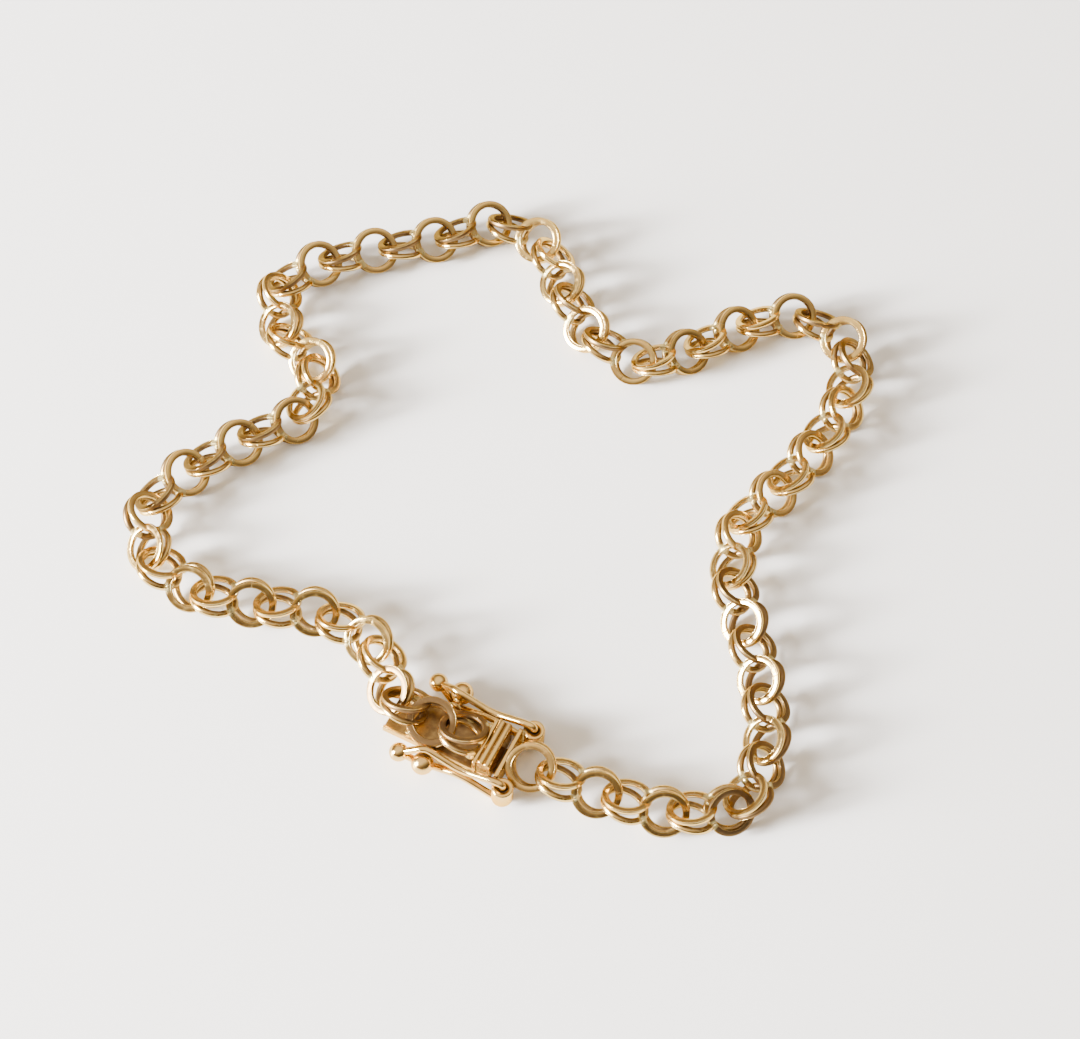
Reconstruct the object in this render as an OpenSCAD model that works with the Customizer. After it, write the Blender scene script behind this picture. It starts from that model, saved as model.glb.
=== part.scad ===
// Link bracelet of double rings with a flat box clasp and two figure-eight safety catches.
// Frame: the origin is the middle of the flat underside of the clasp's box, +X runs along the
// clasp from the box to the end plate, +Y points into the loop, +Z is up.

/* [Chain] */
// Outside diameter of one ring
ring_od = 3.35; // [3.3:0.05:3.6]
// Thickness of the ring wire
wire_d = 0.48; // [0.42:0.02:0.5]
// Distance between the two soldered ring pairs of one link
solder_pitch = 2.6; // [2.5:0.02:2.64]
// Distance between loosely hooked ring pairs on a straight run
loose_pitch = 2.02; // [1.96:0.02:2.06]
// Angle that a ring pair leans to its side
ring_tilt = 36; // [35:1:38]
// How far the two rings of a pair run into each other at their loose end
pair_merge = 0.14; // [0.1:0.02:0.16]
// Gap between the two rings of a pair at their soldered end
spread_gap = 0.72; // [0.6:0.02:0.8]
// Depth of the polished flat on the outer face of a ring
flat_depth = 0.09; // [0.04:0.01:0.1]
// Diameter of a solder bead at the side of a link
solder_d = 0.6; // [0.5:0.05:0.7]

/* [Box] */
// Length of the box without its mouth frame
box_len = 6.8; // [6.4:0.1:7.4]
// Width of the box
box_w = 3.5; // [3.2:0.1:3.8]
// Height of the tray floor that carries the rings
tray_h = 1.1; // [1:0.05:1.2]
// Height of the tray's side rims above its floor
rim_h = 0.3; // [0.2:0.05:0.4]
// Thickness of the rims and of the box's sheet
sheet_t = 0.25; // [0.2:0.01:0.28]
// Width of the spring housing under the tray
housing_w = 2.6; // [2.4:0.1:2.9]
// Distance of the housing from the closed end of the box
housing_setback = 1.2; // [0.8:0.1:1.6]
// Distance between neighbouring ring pairs on the box
box_pitch = 2.15; // [2.1:0.01:2.2]
// Angle that the first ring pair on the box leans to its side
box_ring_tilt = 36; // [34:1:38]
// Height of the first ring pair's centre on the box
box_ring_z = 2.3; // [2.25:0.05:2.4]
// Angle that the middle ring pair on the box leans the other way
middle_ring_tilt = 12; // [8:1:16]
// How far the middle ring pair stands to the near side
middle_shift = 0.3; // [0.2:0.05:0.35]
// Angle that the last ring pair on the box leans to its side
last_ring_tilt = 26; // [24:1:30]
// How far the last link hangs below the box's first ring
box_drop = 0.3; // [0.25:0.01:0.35]

/* [Tongue] */
// Thickness of one leaf of the folded spring tongue
leaf_t = 0.18; // [0.14:0.02:0.2]
// Length of the tongue inside the box
tongue_len = 4.4; // [3.6:0.2:4.8]
// Clear space between the tongue and the box
tongue_gap = 0.06; // [0.04:0.01:0.1]
// Length of the thumb tab along the clasp
tab_len = 0.95; // [0.8:0.05:1.1]
// Height of the thumb tab's top
tab_top = 2.8; // [2.6:0.05:3]
// Open gap between the thumb tab and the end plate
plate_gap = 0.4; // [0.3:0.05:0.5]
// Thickness of the end plate
plate_t = 0.28; // [0.24:0.02:0.34]
// Height of the ring centre behind the end plate
end_ring_z = 1.85; // [1.75:0.05:1.95]

/* [Catches] */
// Height of the catches' hinge and peg centres
catch_z = 1.36; // [1.35:0.01:1.4]
// Outside diameter of a hinge tube
tube_d = 1.45; // [1.3:0.05:1.6]
// Height of a hinge tube
tube_h = 1.6; // [1.5:0.05:1.6]
// Thickness of the catch wire
catch_wire = 0.5; // [0.42:0.02:0.5]
// Clear space all round a hinge pin in its hole
pin_gap = 0.03; // [0.02:0.01:0.05]
// Clear space between a strand and the tube's end
strand_gap = 0.06; // [0.04:0.01:0.08]
// Depth of a hinge pin in its tube
pin_len = 0.5; // [0.4:0.05:0.6]
// Diameter of a peg ball on the box
peg_ball_d = 1.5; // [1.3:0.05:1.55]
// Diameter of a peg's neck
neck_d = 0.5; // [0.4:0.05:0.6]
// Clear space between a peg ball and the catch's eye
snap_gap = 0.08; // [0.06:0.01:0.1]
// Height between the strands' centres at the waist
waist = 0.95; // [0.8:0.05:1.1]
// Diameter of the ball at a catch's tip
tip_ball_d = 1.28; // [1.1:0.02:1.3]
// Outward reach of the tip from the catch's plane
tip_flare = 0.55; // [0.3:0.05:0.8]

/* [Hidden] */
// Headings of the links in degrees, anticlockwise from +X, and how far each one is rolled over
ROUTE = [
    [6, 7], [12, 11], [34, 8], [92, -2], [116, -8], [128, -8], [130, -8], [106, -6], [72, -4],
    [78, -2], [86, 0], [108, 0], [166, 0], [218, 0], [236, 0], [230, 0], [174, 0], [142, 0],
    [134, 0], [174, 0], [228, 0], [220, 0], [222, 0], [240, 0], [302, 0], [342, 0], [284, 0],
    [232, 0], [240, 0], [252, 2], [302, 6], [352, 10], [376, 12], [378, 12], [350, 10], [312, 4]
];
NUM_LINKS = len(ROUTE);
// How much a link dips per degree of bend, and how much a joint closes up per degree between bends
dip_per_bend = 0.12;
pitch_per_bend = 0.0055;
// Number of links over which the chain comes down from the clasp on each side
descend_links = 2;
climb_links = 4;

function link_name(i) = str("link_", i < 10 ? "0" : "", i);

// Shape of one ring pair
ring_r = (ring_od - wire_d) / 2;
pair_near = wire_d - pair_merge;
pair_far = wire_d + spread_gap;
pair_mid = (pair_near + pair_far) / 2;
splay = atan((pair_far - pair_near) / (4 * ring_r));
half_chord = sqrt(ring_r * ring_r - solder_pitch * solder_pitch / 4);
bead_y = pair_far / 2 * sin(ring_tilt) + half_chord * cos(ring_tilt);

// Places along the clasp
box_end = -box_len / 2;
mouth_x = box_len / 2;
wall_x = mouth_x - sheet_t;
tab_x = mouth_x + tongue_gap;
plate_x = tab_x + tab_len + plate_gap;
plate_back = plate_x + plate_t;
plate_w = box_w + 0.4;
plate_top = catch_z + tube_h / 2 + 0.2;
tube_sink = 0.12;
tube_x = plate_back + tube_d / 2 - tube_sink;
tube_y = plate_w / 2 + 0.37;
end_ring_x = plate_back + ring_od / 2 - tube_sink;
third_ring_x = mouth_x - ring_od / 2 - sheet_t / 3;
second_ring_x = third_ring_x - box_pitch;
first_ring_x = second_ring_x - box_pitch;

// Spring housing and folded tongue
cavity_w = housing_w - 2 * sheet_t;
cavity_top = tray_h - sheet_t;
leaf_w = cavity_w - 2 * tongue_gap;
low_leaf_z = sheet_t + tongue_gap;
high_leaf_z = cavity_top - tongue_gap - leaf_t;
fold_r = (high_leaf_z + leaf_t - low_leaf_z) / 2;
tab_w = box_w - 0.06;
ridge_r = tab_len / 4 + 0.02;
mouth_h = tab_top - 0.35;

// Catches: distances from the hinge axis towards the closed end of the box
pin_r = catch_wire / 2 - 0.02;
hole_r = pin_r + pin_gap;
strand_z = tube_h / 2 + strand_gap + catch_wire / 2;
bend_r = strand_gap + catch_wire / 2;
peg_x = 0.15;
eye_u = tube_x - peg_x;
eye_r = peg_ball_d / 2 + snap_gap + catch_wire / 2;
waist_u = eye_u * 0.57;
peg_ball_y = tube_y + 0.55;

// A strand falls to the waist in two equal arcs with a straight stretch between them
drop = strand_z - waist / 2;
drop_run = waist_u - bend_r;
drop_r = 0.8 * (drop_run * drop_run + drop * drop) / (4 * drop);
drop_span = norm([drop_run, 2 * drop_r - drop]);
drop_angle = asin(2 * drop_r / drop_span) - atan2(2 * drop_r - drop, drop_run);
drop_straight = sqrt(drop_span * drop_span - 4 * drop_r * drop_r);

// Behind the waist it rises in one arc and a straight stretch to the eye
rise_run = eye_u - waist_u;
rise_r = 0.5 * (rise_run * rise_run + waist * waist / 4 - eye_r * eye_r) / (2 * eye_r - waist);
rise_span = norm([rise_run, waist / 2 + rise_r]);
rise_angle = asin((rise_r + eye_r) / rise_span) - atan2(waist / 2 + rise_r, rise_run);
rise_straight = sqrt(rise_span * rise_span - pow(rise_r + eye_r, 2));

// Past the eye the strands run together into the tip ball and lean outward
eye_tip = eye_r * 1.7;
tip_angle = asin(eye_r / eye_tip);
tip_straight = sqrt(eye_tip * eye_tip - eye_r * eye_r);
flare_angle = atan(tip_flare / eye_tip);

// Heights of the chain's middle
function reach(tilt) = pair_mid / 2 * abs(cos(tilt)) + wire_d / 2
    + ring_r * sqrt(pow(sin(tilt), 2) + pow(cos(tilt) * sin(splay), 2));
function base_z(roll) = max(reach(ring_tilt + roll), reach(ring_tilt - roll));

// The route is closed by leaning every heading a little, so that the last link meets the box
function unit(a) = [cos(a), sin(a)];
function bend(hs, i) = (i < len(hs) ? hs[i] : 360) - (i > 0 ? hs[i - 1] : 0);
function bend_change(hs, i) = i < 1 || i > len(hs) ? 0 : abs(bend(hs, i) - bend(hs, i - 1));
function joint_pitch(hs, i) = loose_pitch - pitch_per_bend * (bend_change(hs, i) + bend_change(hs, i + 1));
function link_length(hs, i) = solder_pitch + (joint_pitch(hs, i) + joint_pitch(hs, i + 1)) / 2;
function joint_at(hs, i) = i == 0
    ? [end_ring_x + joint_pitch(hs, 0) / 2, 0]
    : joint_at(hs, i - 1) + link_length(hs, i - 1) * unit(hs[i - 1]);
function gap_left(hs) = [first_ring_x - joint_pitch(hs, len(hs)) / 2, 0] - joint_at(hs, len(hs));
function lean(hs, v) = [for (h = hs) h + (v.y * cos(h) - v.x * sin(h)) * 180 / PI];
function total(v) = v * [for (x = v) 1];
function nudge(hs, r) =
    let (
        l = [for (i = [0:len(hs) - 1]) link_length(hs, i)],
        a = total([for (i = [0:len(hs) - 1]) l[i] * pow(sin(hs[i]), 2)]),
        b = total([for (i = [0:len(hs) - 1]) -l[i] * sin(hs[i]) * cos(hs[i])]),
        c = total([for (i = [0:len(hs) - 1]) l[i] * pow(cos(hs[i]), 2)]),
        d = a * c - b * b
    ) [(c * r.x - b * r.y) / d, (a * r.y - b * r.x) / d];
function close_loop(hs, steps) = steps == 0 ? hs
    : close_loop(lean(hs, nudge(hs, gap_left(hs))), steps - 1);
headings = close_loop([for (row = ROUTE) row[0]], 6);

// Height of the chain over its rest at joint i, where it comes down from the clasp
end_lift = end_ring_z - base_z(ROUTE[0][1]);
box_lift = box_ring_z - box_drop - base_z(ROUTE[NUM_LINKS - 1][1]);
function lift(i) = end_lift * max(0, 1 - i / descend_links)
    + box_lift * max(0, 1 - (NUM_LINKS - i) / climb_links);
function dip(i) = dip_per_bend * (bend(headings, i) + bend(headings, i + 1)) / 2
    + asin((lift(i) - lift(i + 1)) / link_length(headings, i));
function dip_rise(i) = sin(abs(dip_per_bend * (bend(headings, i) + bend(headings, i + 1)) / 2))
    * solder_pitch / 2;

// One ring with its polished flat towards +Z
module ring() {
    rotate_extrude($fn = 48)
        translate([ring_r, 0])
            intersection() {
                circle(d = wire_d, $fn = 24);
                translate([-wire_d, -wire_d]) square([2 * wire_d, 1.5 * wire_d - flat_depth]);
            }
}

// Two rings side by side; toward is +1 or -1, the side along X where they spread apart
module ring_pair(toward) {
    for (side = [1, -1])
        translate([0, 0, side * pair_mid / 2])
            rotate([0, -side * toward * splay, 0])
                mirror([0, 0, side > 0 ? 0 : 1]) ring();
}

// Two ring pairs leaning opposite ways and soldered together at both sides
module double_link() {
    translate([-solder_pitch / 2, 0, 0]) rotate([-ring_tilt, 0, 0]) ring_pair(1);
    translate([solder_pitch / 2, 0, 0]) rotate([ring_tilt, 0, 0]) ring_pair(-1);
    for (side = [1, -1])
        translate([0, side * bead_y, 0]) sphere(d = solder_d, $fn = 32);
}

// Link i of the chain, set at its place on the route
module chain_link(i) {
    middle = (joint_at(headings, i) + joint_at(headings, i + 1)) / 2
        + unit(headings[i]) * (joint_pitch(headings, i) - joint_pitch(headings, i + 1)) / 4;
    height = base_z(ROUTE[i][1]) + (lift(i) + lift(i + 1)) / 2 + dip_rise(i);
    color("goldenrod")
        translate([middle.x, middle.y, height])
            rotate([0, 0, headings[i]])
                rotate([0, dip(i), 0])
                    rotate([ROUTE[i][1], 0, 0])
                        double_link();
}

// Flat tray with low rims at its sides
module tray() {
    difference() {
        translate([box_end, -box_w / 2, cavity_top]) cube([box_len, box_w, sheet_t + rim_h]);
        translate([box_end - 1, -box_w / 2 + sheet_t, tray_h])
            cube([box_len + 1 - sheet_t, box_w - 2 * sheet_t, rim_h + 1]);
    }
}

// Hollow housing under the tray that the tongue slides into
module housing() {
    start = box_end + housing_setback;
    difference() {
        translate([start, -housing_w / 2, 0]) cube([mouth_x - start, housing_w, cavity_top + 0.05]);
        translate([start + sheet_t, -cavity_w / 2, sheet_t])
            cube([mouth_x - start, cavity_w, cavity_top - sheet_t]);
    }
}

// Upright wall at the mouth that the last rings are soldered to
module mouth_wall() {
    difference() {
        translate([wall_x, -box_w / 2, sheet_t]) cube([sheet_t, box_w, mouth_h - sheet_t]);
        translate([wall_x - 1, -cavity_w / 2, 0]) cube([2 + sheet_t, cavity_w, cavity_top]);
    }
}

// Ball on a short neck at the side of the box; side is -1 near and +1 far
module peg(side) {
    translate([peg_x, side * peg_ball_y, catch_z]) sphere(d = peg_ball_d, $fn = 48);
    translate([peg_x, side * (box_w / 2 - sheet_t / 2), catch_z])
        rotate([-side * 90, 0, 0]) cylinder(d = neck_d, h = peg_ball_y - box_w / 2, $fn = 32);
}

// Ring pairs of the chain carried on over the box and soldered down
module box_rings() {
    translate([first_ring_x, 0, box_ring_z]) rotate([-box_ring_tilt, 0, 0]) ring_pair(1);
    translate([second_ring_x, -middle_shift, tray_h + reach(middle_ring_tilt)])
        rotate([middle_ring_tilt, 0, 0]) ring_pair(-1);
    translate([third_ring_x, 0, tray_h + reach(last_ring_tilt) - 0.1])
        rotate([-last_ring_tilt, 0, 0]) ring_pair(1);
}

module box() {
    color("goldenrod") {
        tray();
        housing();
        mouth_wall();
        for (side = [-1, 1]) peg(side);
        box_rings();
    }
}

// Folded spring tongue: a low leaf, a fold at its tip and a high leaf
module spring_leaves() {
    tip = mouth_x - tongue_len;
    translate([tip, -leaf_w / 2, low_leaf_z]) cube([plate_x + plate_t / 2 - tip, leaf_w, leaf_t]);
    translate([tip, -leaf_w / 2, high_leaf_z]) cube([tab_x + tab_len - tip, leaf_w, leaf_t]);
    difference() {
        translate([tip, 0, low_leaf_z + fold_r])
            rotate([90, 0, 0]) cylinder(r = fold_r, h = leaf_w, center = true, $fn = 32);
        translate([tip, 0, low_leaf_z + fold_r])
            rotate([90, 0, 0]) cylinder(r = fold_r - leaf_t, h = leaf_w + 1, center = true, $fn = 32);
        translate([tip, -leaf_w, 0]) cube([2, 2 * leaf_w, 3]);
    }
}

// Thumb tab with two rounded ridges along its top
module thumb_tab() {
    translate([tab_x, -tab_w / 2, high_leaf_z]) cube([tab_len, tab_w, tab_top - ridge_r - high_leaf_z]);
    for (x = [ridge_r, tab_len - ridge_r])
        translate([tab_x + x, 0, tab_top - ridge_r])
            rotate([90, 0, 0]) cylinder(r = ridge_r, h = tab_w, center = true, $fn = 32);
}

// Upright tube that a catch hinges in, with a blind hole in each end
module hinge_tube(side) {
    translate([tube_x, side * tube_y, catch_z]) difference() {
        cylinder(d = tube_d, h = tube_h, center = true, $fn = 48);
        for (end = [-1, 1])
            translate([0, 0, end * tube_h / 2])
                cylinder(r = hole_r, h = 2 * (pin_len + strand_gap), center = true, $fn = 32);
    }
}

// End plate with its tubes, the ring pair behind it and the solder that joins them
module end_plate() {
    translate([plate_x, -plate_w / 2, low_leaf_z]) cube([plate_t, plate_w, plate_top - low_leaf_z]);
    for (side = [-1, 1]) {
        hinge_tube(side);
        translate([plate_back, side * ring_r * 0.45, end_ring_z]) sphere(d = solder_d, $fn = 32);
    }
    intersection() {
        translate([end_ring_x, 0, end_ring_z]) rotate([ring_tilt, 0, 0]) ring_pair(-1);
        translate([plate_x + plate_t / 2, -box_w, -1]) cube([9, 2 * box_w, 9]);
    }
}

module tongue() {
    color("goldenrod") {
        spring_leaves();
        thumb_tab();
        end_plate();
    }
}

// Slightly thicker bead at the end of a stretch of wire, which ties it to what follows
module tied() {
    rotate([0, 90, 0]) sphere(d = catch_wire + 0.02, $fn = 24);
    children();
}

// Straight wire from the origin along +X; what follows goes on at its end
module wire_straight(length) {
    rotate([0, 90, 0]) cylinder(d = catch_wire, h = length, $fn = 24);
    translate([length, 0, 0]) tied() children();
}

// Wire that starts along +X and turns up, or down if angle is negative; what follows goes on at its end
module wire_arc(r, angle) {
    mirror([0, 0, angle < 0 ? 1 : 0])
        translate([0, 0, r])
            rotate([90, 0, 0])
                rotate([0, 0, -90])
                    rotate_extrude(angle = abs(angle), $fn = 96)
                        translate([r, 0]) circle(d = catch_wire, $fn = 24);
    translate([r * sin(abs(angle)), 0, sign(angle) * r * (1 - cos(angle))])
        rotate([0, -angle, 0]) tied() children();
}

// Wire from the top of the hinge tube over the waist and the eye to the tip, drawn along +X
module strand() {
    translate([0, 0, strand_z - bend_r])
        rotate([0, -90, 0])
            wire_arc(bend_r, -90)
                wire_arc(drop_r, -drop_angle)
                    wire_straight(drop_straight)
                        wire_arc(drop_r, drop_angle)
                            wire_arc(rise_r, rise_angle)
                                wire_straight(rise_straight)
                                    wire_arc(eye_r, -rise_angle)
                                        leaning_tip();
}

// Second half of the eye and the run to the tip ball, turned outward about the eye's middle
module leaning_tip() {
    rotate([0, 0, flare_angle])
        wire_arc(eye_r, -tip_angle)
            wire_straight(tip_straight);
}

// Figure-eight catch with its hinge axis at the origin
module catch() {
    for (end = [0, 1])
        mirror([0, 0, end]) {
            strand();
            translate([0, 0, tube_h / 2 - pin_len])
                cylinder(r = pin_r, h = pin_len + strand_gap / 2, $fn = 32);
        }
    translate([eye_u, 0, 0])
        rotate([0, 0, flare_angle])
            translate([eye_tip, 0, 0]) sphere(d = tip_ball_d, $fn = 40);
}

module catch_far() {
    color("gold") translate([tube_x, tube_y, catch_z]) mirror([1, 0, 0]) catch();
}

module catch_near() {
    color("gold") translate([tube_x, -tube_y, catch_z]) rotate([0, 0, 180]) catch();
}

for (i = [0:NUM_LINKS - 1])
    chain_link(i);
box();
tongue();
catch_near();
catch_far();
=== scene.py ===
"""Link bracelet of double rings with a box clasp and two safety catches.

Sets the camera and the studio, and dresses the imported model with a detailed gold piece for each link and
each part of the clasp. Lengths are in millimetres, angles in degrees.
"""
import logging
import math
import random
from dataclasses import dataclass, field
from enum import Enum

import bmesh
import bpy
from mathutils import Matrix, Vector, noise
from mathutils.bvhtree import BVHTree


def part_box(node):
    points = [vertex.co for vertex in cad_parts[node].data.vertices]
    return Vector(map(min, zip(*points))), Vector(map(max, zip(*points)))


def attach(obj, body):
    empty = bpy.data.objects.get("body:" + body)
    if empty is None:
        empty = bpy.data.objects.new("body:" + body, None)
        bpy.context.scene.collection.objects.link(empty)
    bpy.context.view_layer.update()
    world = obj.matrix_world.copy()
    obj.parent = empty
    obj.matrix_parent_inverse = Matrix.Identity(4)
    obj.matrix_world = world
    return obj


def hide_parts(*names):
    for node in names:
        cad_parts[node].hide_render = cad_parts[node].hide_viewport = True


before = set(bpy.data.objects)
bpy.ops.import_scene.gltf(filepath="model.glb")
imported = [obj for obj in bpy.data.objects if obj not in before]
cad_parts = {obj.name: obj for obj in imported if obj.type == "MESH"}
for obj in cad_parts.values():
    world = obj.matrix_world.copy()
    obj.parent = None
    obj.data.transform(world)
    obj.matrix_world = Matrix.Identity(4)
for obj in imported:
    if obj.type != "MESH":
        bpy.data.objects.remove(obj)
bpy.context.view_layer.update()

LOG = logging.getLogger("bracelet")
MM = 0.001
Triple = tuple[float, float, float]
# Painted shade with patina, solder and tone of a point, each from 0 to 1; the first channel darkens crevices
# and undersides where shade falls
ShadeAndWear = Triple
PLAIN: ShadeAndWear = (0.0, 0.0, 0.5)
SOLDER: ShadeAndWear = (0.0, 1.0, 0.5)
TIE: ShadeAndWear = (0.4, 0.6, 0.5)
# Painted shade, near black, for parts that lie in the shadow inside the box
SHADED_INSIDE: ShadeAndWear = (0.9, 0.0, 0.5)
# Places of the colours among a Mix node's sockets
MIX_FIRST, MIX_SECOND, MIX_COLOUR = 6, 7, 2
LUMP_ROWS, LUMP_SIDES = 16, 22
CORNER_STEPS = 4


class Side(Enum):
    """The two long sides of the clasp."""

    NEAR = -1
    FAR = 1


class Slot(Enum):
    """Material slots of the record that a piece takes its finish from."""

    LINK = "link_gold"
    CLASP = "clasp_gold"
    CATCH = "catch_gold"


def smooth(low: float, high: float, x: float) -> float:
    """Eases from 0 at low to 1 at high."""
    t = min(1.0, max(0.0, (x - low) / (high - low)))
    return t * t * (3 - 2 * t)


def shift(x: float, y: float, z: float) -> Matrix:
    """Matrix that moves by x, y and z."""
    return Matrix.Translation((x, y, z))


def turn(degrees: float, axis: str) -> Matrix:
    """Matrix that turns about an axis."""
    return Matrix.Rotation(math.radians(degrees), 4, axis)


def unit(degrees: float) -> Vector:
    """Direction in the plane at an angle from +X."""
    return Vector((math.cos(math.radians(degrees)), math.sin(math.radians(degrees))))


class Number:
    """A number that runs through a shader; arithmetic on it adds Math nodes."""

    def __init__(self, graph: "Graph", socket: bpy.types.NodeSocket) -> None:
        """Keeps the graph and the socket that gives the number."""
        self.graph = graph
        self.socket = socket

    def _maths(self, operation: str, *values: object) -> "Number":
        """Adds one Math node.

        Args:
            operation: The node's operation.
            values: Its numbers or Numbers, in order.

        Returns:
            The node's result.
        """
        return self.graph.number("ShaderNodeMath", {"operation": operation}, dict(enumerate(values)))

    def __add__(self, other: object) -> "Number":
        """Sum with a number."""
        return self._maths("ADD", self, other)

    __radd__ = __add__

    def __mul__(self, other: object) -> "Number":
        """Product with a number."""
        return self._maths("MULTIPLY", self, other)

    __rmul__ = __mul__

    def __sub__(self, other: object) -> "Number":
        """Difference, this number first."""
        return self._maths("SUBTRACT", self, other)

    def __rsub__(self, other: object) -> "Number":
        """Difference, this number last."""
        return self._maths("SUBTRACT", other, self)

    def eased(self, low: float, high: float) -> "Number":
        """Eases from 0 at low to 1 at high."""
        inputs = {"Value": self, "From Min": low, "From Max": high}
        return self.graph.number("ShaderNodeMapRange", {"interpolation_type": "SMOOTHSTEP"}, inputs)


class Graph:
    """The node tree of one finish or of the studio's surroundings."""

    def __init__(self, tree: bpy.types.NodeTree) -> None:
        """Clears the tree."""
        self.tree = tree
        tree.nodes.clear()

    def node(self, kind: str, settings: dict | None = None, inputs: dict | None = None) -> bpy.types.Node:
        """Adds any node.

        Args:
            kind: Its type.
            settings: Its settings, set first; stops are a ramp's places and colours.
            inputs: Values or links of its sockets, by name or place.

        Returns:
            The node.
        """
        node = self.tree.nodes.new(kind)
        for name, value in (settings or {}).items():
            if name == "stops":
                ramp = node.color_ramp.elements
                while len(ramp) < len(value):
                    ramp.new(1.0)
                for stop, (place, colour) in zip(ramp, value):
                    stop.position, stop.color = place, (*colour, 1.0)
            else:
                setattr(node, name, value)
        for name, value in (inputs or {}).items():
            socket = node.inputs[name]
            if isinstance(value, Number):
                self.tree.links.new(value.socket, socket)
            elif isinstance(value, bpy.types.NodeSocket):
                self.tree.links.new(value, socket)
            else:
                socket.default_value = value
        return node

    def number(self, kind: str, settings: dict | None = None, inputs: dict | None = None) -> Number:
        """Adds a node and takes its first output as a number."""
        return Number(self, self.node(kind, settings, inputs).outputs[0])

    def mix(self, factor: object, first: object, second: object) -> bpy.types.NodeSocket:
        """Mixes two colours.

        Args:
            factor: How much of the second.
            first: A colour or a colour's socket.
            second: A colour or a colour's socket.

        Returns:
            The mixed colour.
        """
        colours = {MIX_FIRST: first, MIX_SECOND: second}
        inputs = {k: (*v, 1.0) if isinstance(v, tuple) else v for k, v in colours.items()}
        return self.node("ShaderNodeMix", {"data_type": "RGBA"}, {0: factor, **inputs}).outputs[MIX_COLOUR]


@dataclass(frozen=True)
class GoldFinish:
    """Polished gold with painted shade and patina in its crevices, pale solder and fine worn marks."""

    slot: Slot
    tone: Triple
    # Dark brown of the painted shade and patina in the crevices
    shade_and_patina: Triple = (0.10, 0.055, 0.034)
    solder: Triple = (0.70, 0.60, 0.29)
    rosy: Triple = (0.80, 0.51, 0.19)
    rim: Triple = (0.97, 0.73, 0.36)
    roughness: float = 0.13
    scratch: float = 0.35
    bump: float = 0.22
    bump_depth: float = 0.006

    def material(self) -> bpy.types.Material:
        """Builds the finish.

        Returns:
            A material that reads the painted shade, solder and tone of each point.
        """
        material = bpy.data.materials.new(self.slot.value + "_polished")
        material.use_nodes = True
        graph = Graph(material.node_tree)
        wear = graph.node("ShaderNodeAttribute", {"attribute_name": "wear"})
        split = graph.node("ShaderNodeSeparateColor", {}, {"Color": wear.outputs["Color"]})
        dark, solder, shade = (Number(graph, socket) for socket in split.outputs[:3])
        where = graph.node("ShaderNodeTexCoord").outputs["Object"]

        def grain(scale: float, detail: float, squeeze: tuple = (1.0, 1.0, 1.0)) -> Number:
            """Noise with a scale in millimetres.

            Args:
                scale: Grains per millimetre.
                detail: Number of finer layers.
                squeeze: Stretch of the grain along X, Y and Z.

            Returns:
                A number about 0.5.
            """
            size = tuple(s / MM for s in squeeze)
            place = graph.node("ShaderNodeMapping", {}, {"Vector": where, "Scale": size}).outputs[0]
            return graph.number("ShaderNodeTexNoise", {}, {"Vector": place, "Scale": scale, "Detail": detail})

        cloud = grain(0.7, 2.0)
        smudge = grain(2.6, 4.0)
        speck = grain(14.0, 3.0)
        hair = grain(6.0, 2.0, (1.0, 9.0, 4.0)).eased(0.60, 0.72)
        hair = hair + grain(6.0, 2.0, (8.0, 1.0, 5.0)).eased(0.62, 0.74)

        tone = graph.mix(cloud.eased(0.35, 0.7) * 0.5, self.tone, self.rosy)
        tone = graph.mix(shade * 0.3, tone, tuple(0.90 * c for c in self.tone))
        # Painted shade: the first channel, mottled, darkens the tone towards dark brown in crevices and
        # undersides, partly patina
        shade_and_grime = (dark * (0.55 + 0.9 * smudge)).eased(0.08, 0.95)
        tone = graph.mix(shade_and_grime * 0.85, tone, self.shade_and_patina)
        tone = graph.mix((solder * (0.7 + 0.6 * smudge)).eased(0.25, 0.75) * 0.8, tone, self.solder)

        worn = 0.13 * smudge.eased(0.45, 0.75) + 0.14 * solder
        rough = self.roughness + worn + 0.22 * shade_and_grime + 0.05 * hair
        height = 0.5 * speck + 0.8 * smudge * solder - self.scratch * hair
        marks = {"Strength": self.bump, "Distance": self.bump_depth * MM, "Height": height}
        bump = graph.node("ShaderNodeBump", {}, marks)
        shader = graph.node(
            "ShaderNodeBsdfPrincipled", {},
            {"Base Color": tone, "Metallic": 1.0, "Roughness": rough, "Normal": bump.outputs[0],
             "Specular Tint": (*self.rim, 1.0)},
        )
        graph.node("ShaderNodeOutputMaterial", {}, {"Surface": shader.outputs[0]})
        return material


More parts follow.
